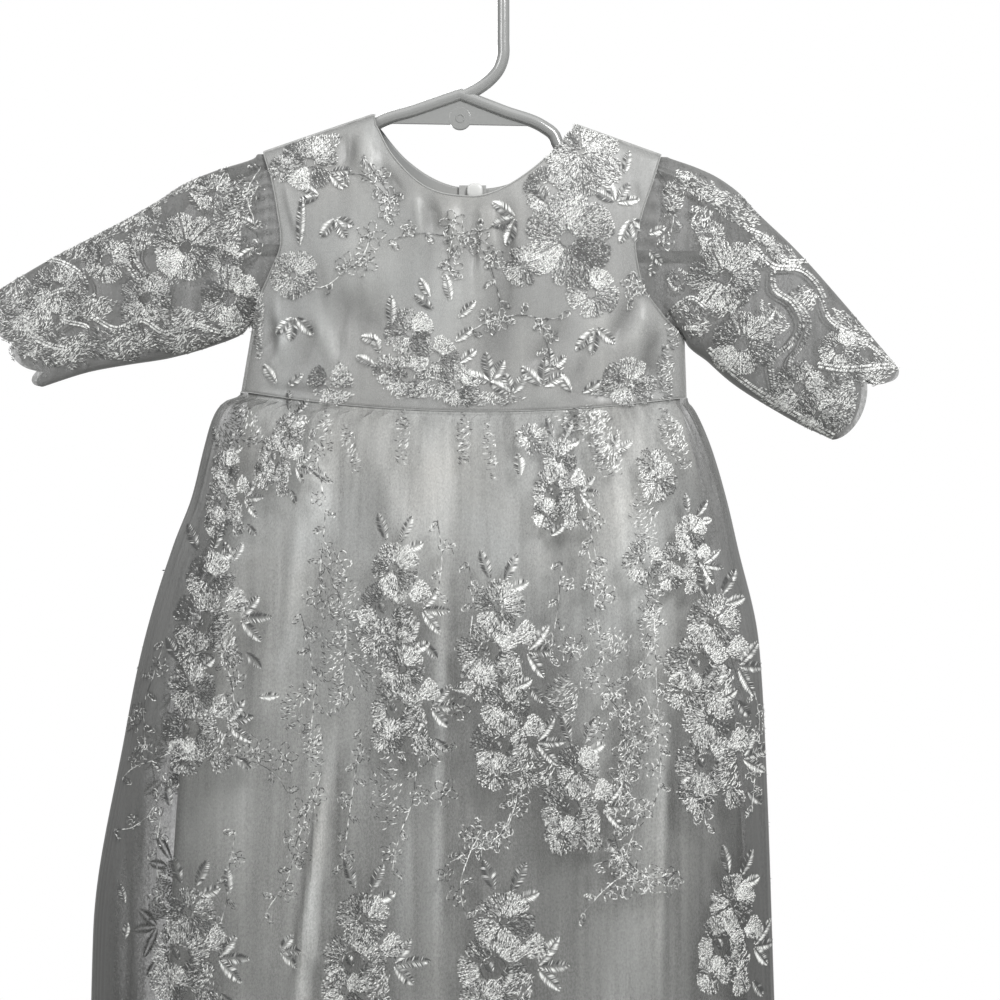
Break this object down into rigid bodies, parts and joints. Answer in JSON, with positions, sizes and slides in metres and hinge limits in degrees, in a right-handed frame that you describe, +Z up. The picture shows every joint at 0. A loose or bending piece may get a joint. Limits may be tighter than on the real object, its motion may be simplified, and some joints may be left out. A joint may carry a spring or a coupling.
{
  "type": "christening gown on a hanger",
  "caption": "Baby's long christening gown of embroidered net over satin, with sheer scalloped elbow sleeves and a gathered skirt, hanging on a moulded child's hanger.",
  "frame": {"origin": "the point inside the top of the hanger's hook, where a rail carries it", "axes": "+Z up, +X to the right as seen from the front, the front of the gown faces -Y"},
  "size_m": [0.5029, 0.1356, 0.8752],
  "materials": {
    "satin": "smooth satin",
    "net": "embroidered net",
    "hanger": "glossy",
    "zip": "enamelled"
  },
  "bodies": {
    "gown": {"bodice_front": "satin", "bodice_back_left": "satin", "bodice_back_right": "satin", "bodice_front_net": "net", "bodice_back_left_net": "net", "bodice_back_right_net": "net", "sleeve_left": "net", "sleeve_right": "net", "skirt_front_net": "net", "skirt_back_net": "net", "skirt_front_lining": "satin", "skirt_back_lining": "satin", "zip_tape": "satin", "zip_slider": "zip", "hanger": "hanger"},
    "pull": {"zip_pull": "zip"}
  },
  "joints": [
    {"name": "pull_swing", "type": "hinge", "parent": "gown", "child": "pull", "pos_m": [0.00396, 0.023, -0.1497], "axis": [1, 0, 0], "range_deg": [0, 170]}
  ]
}
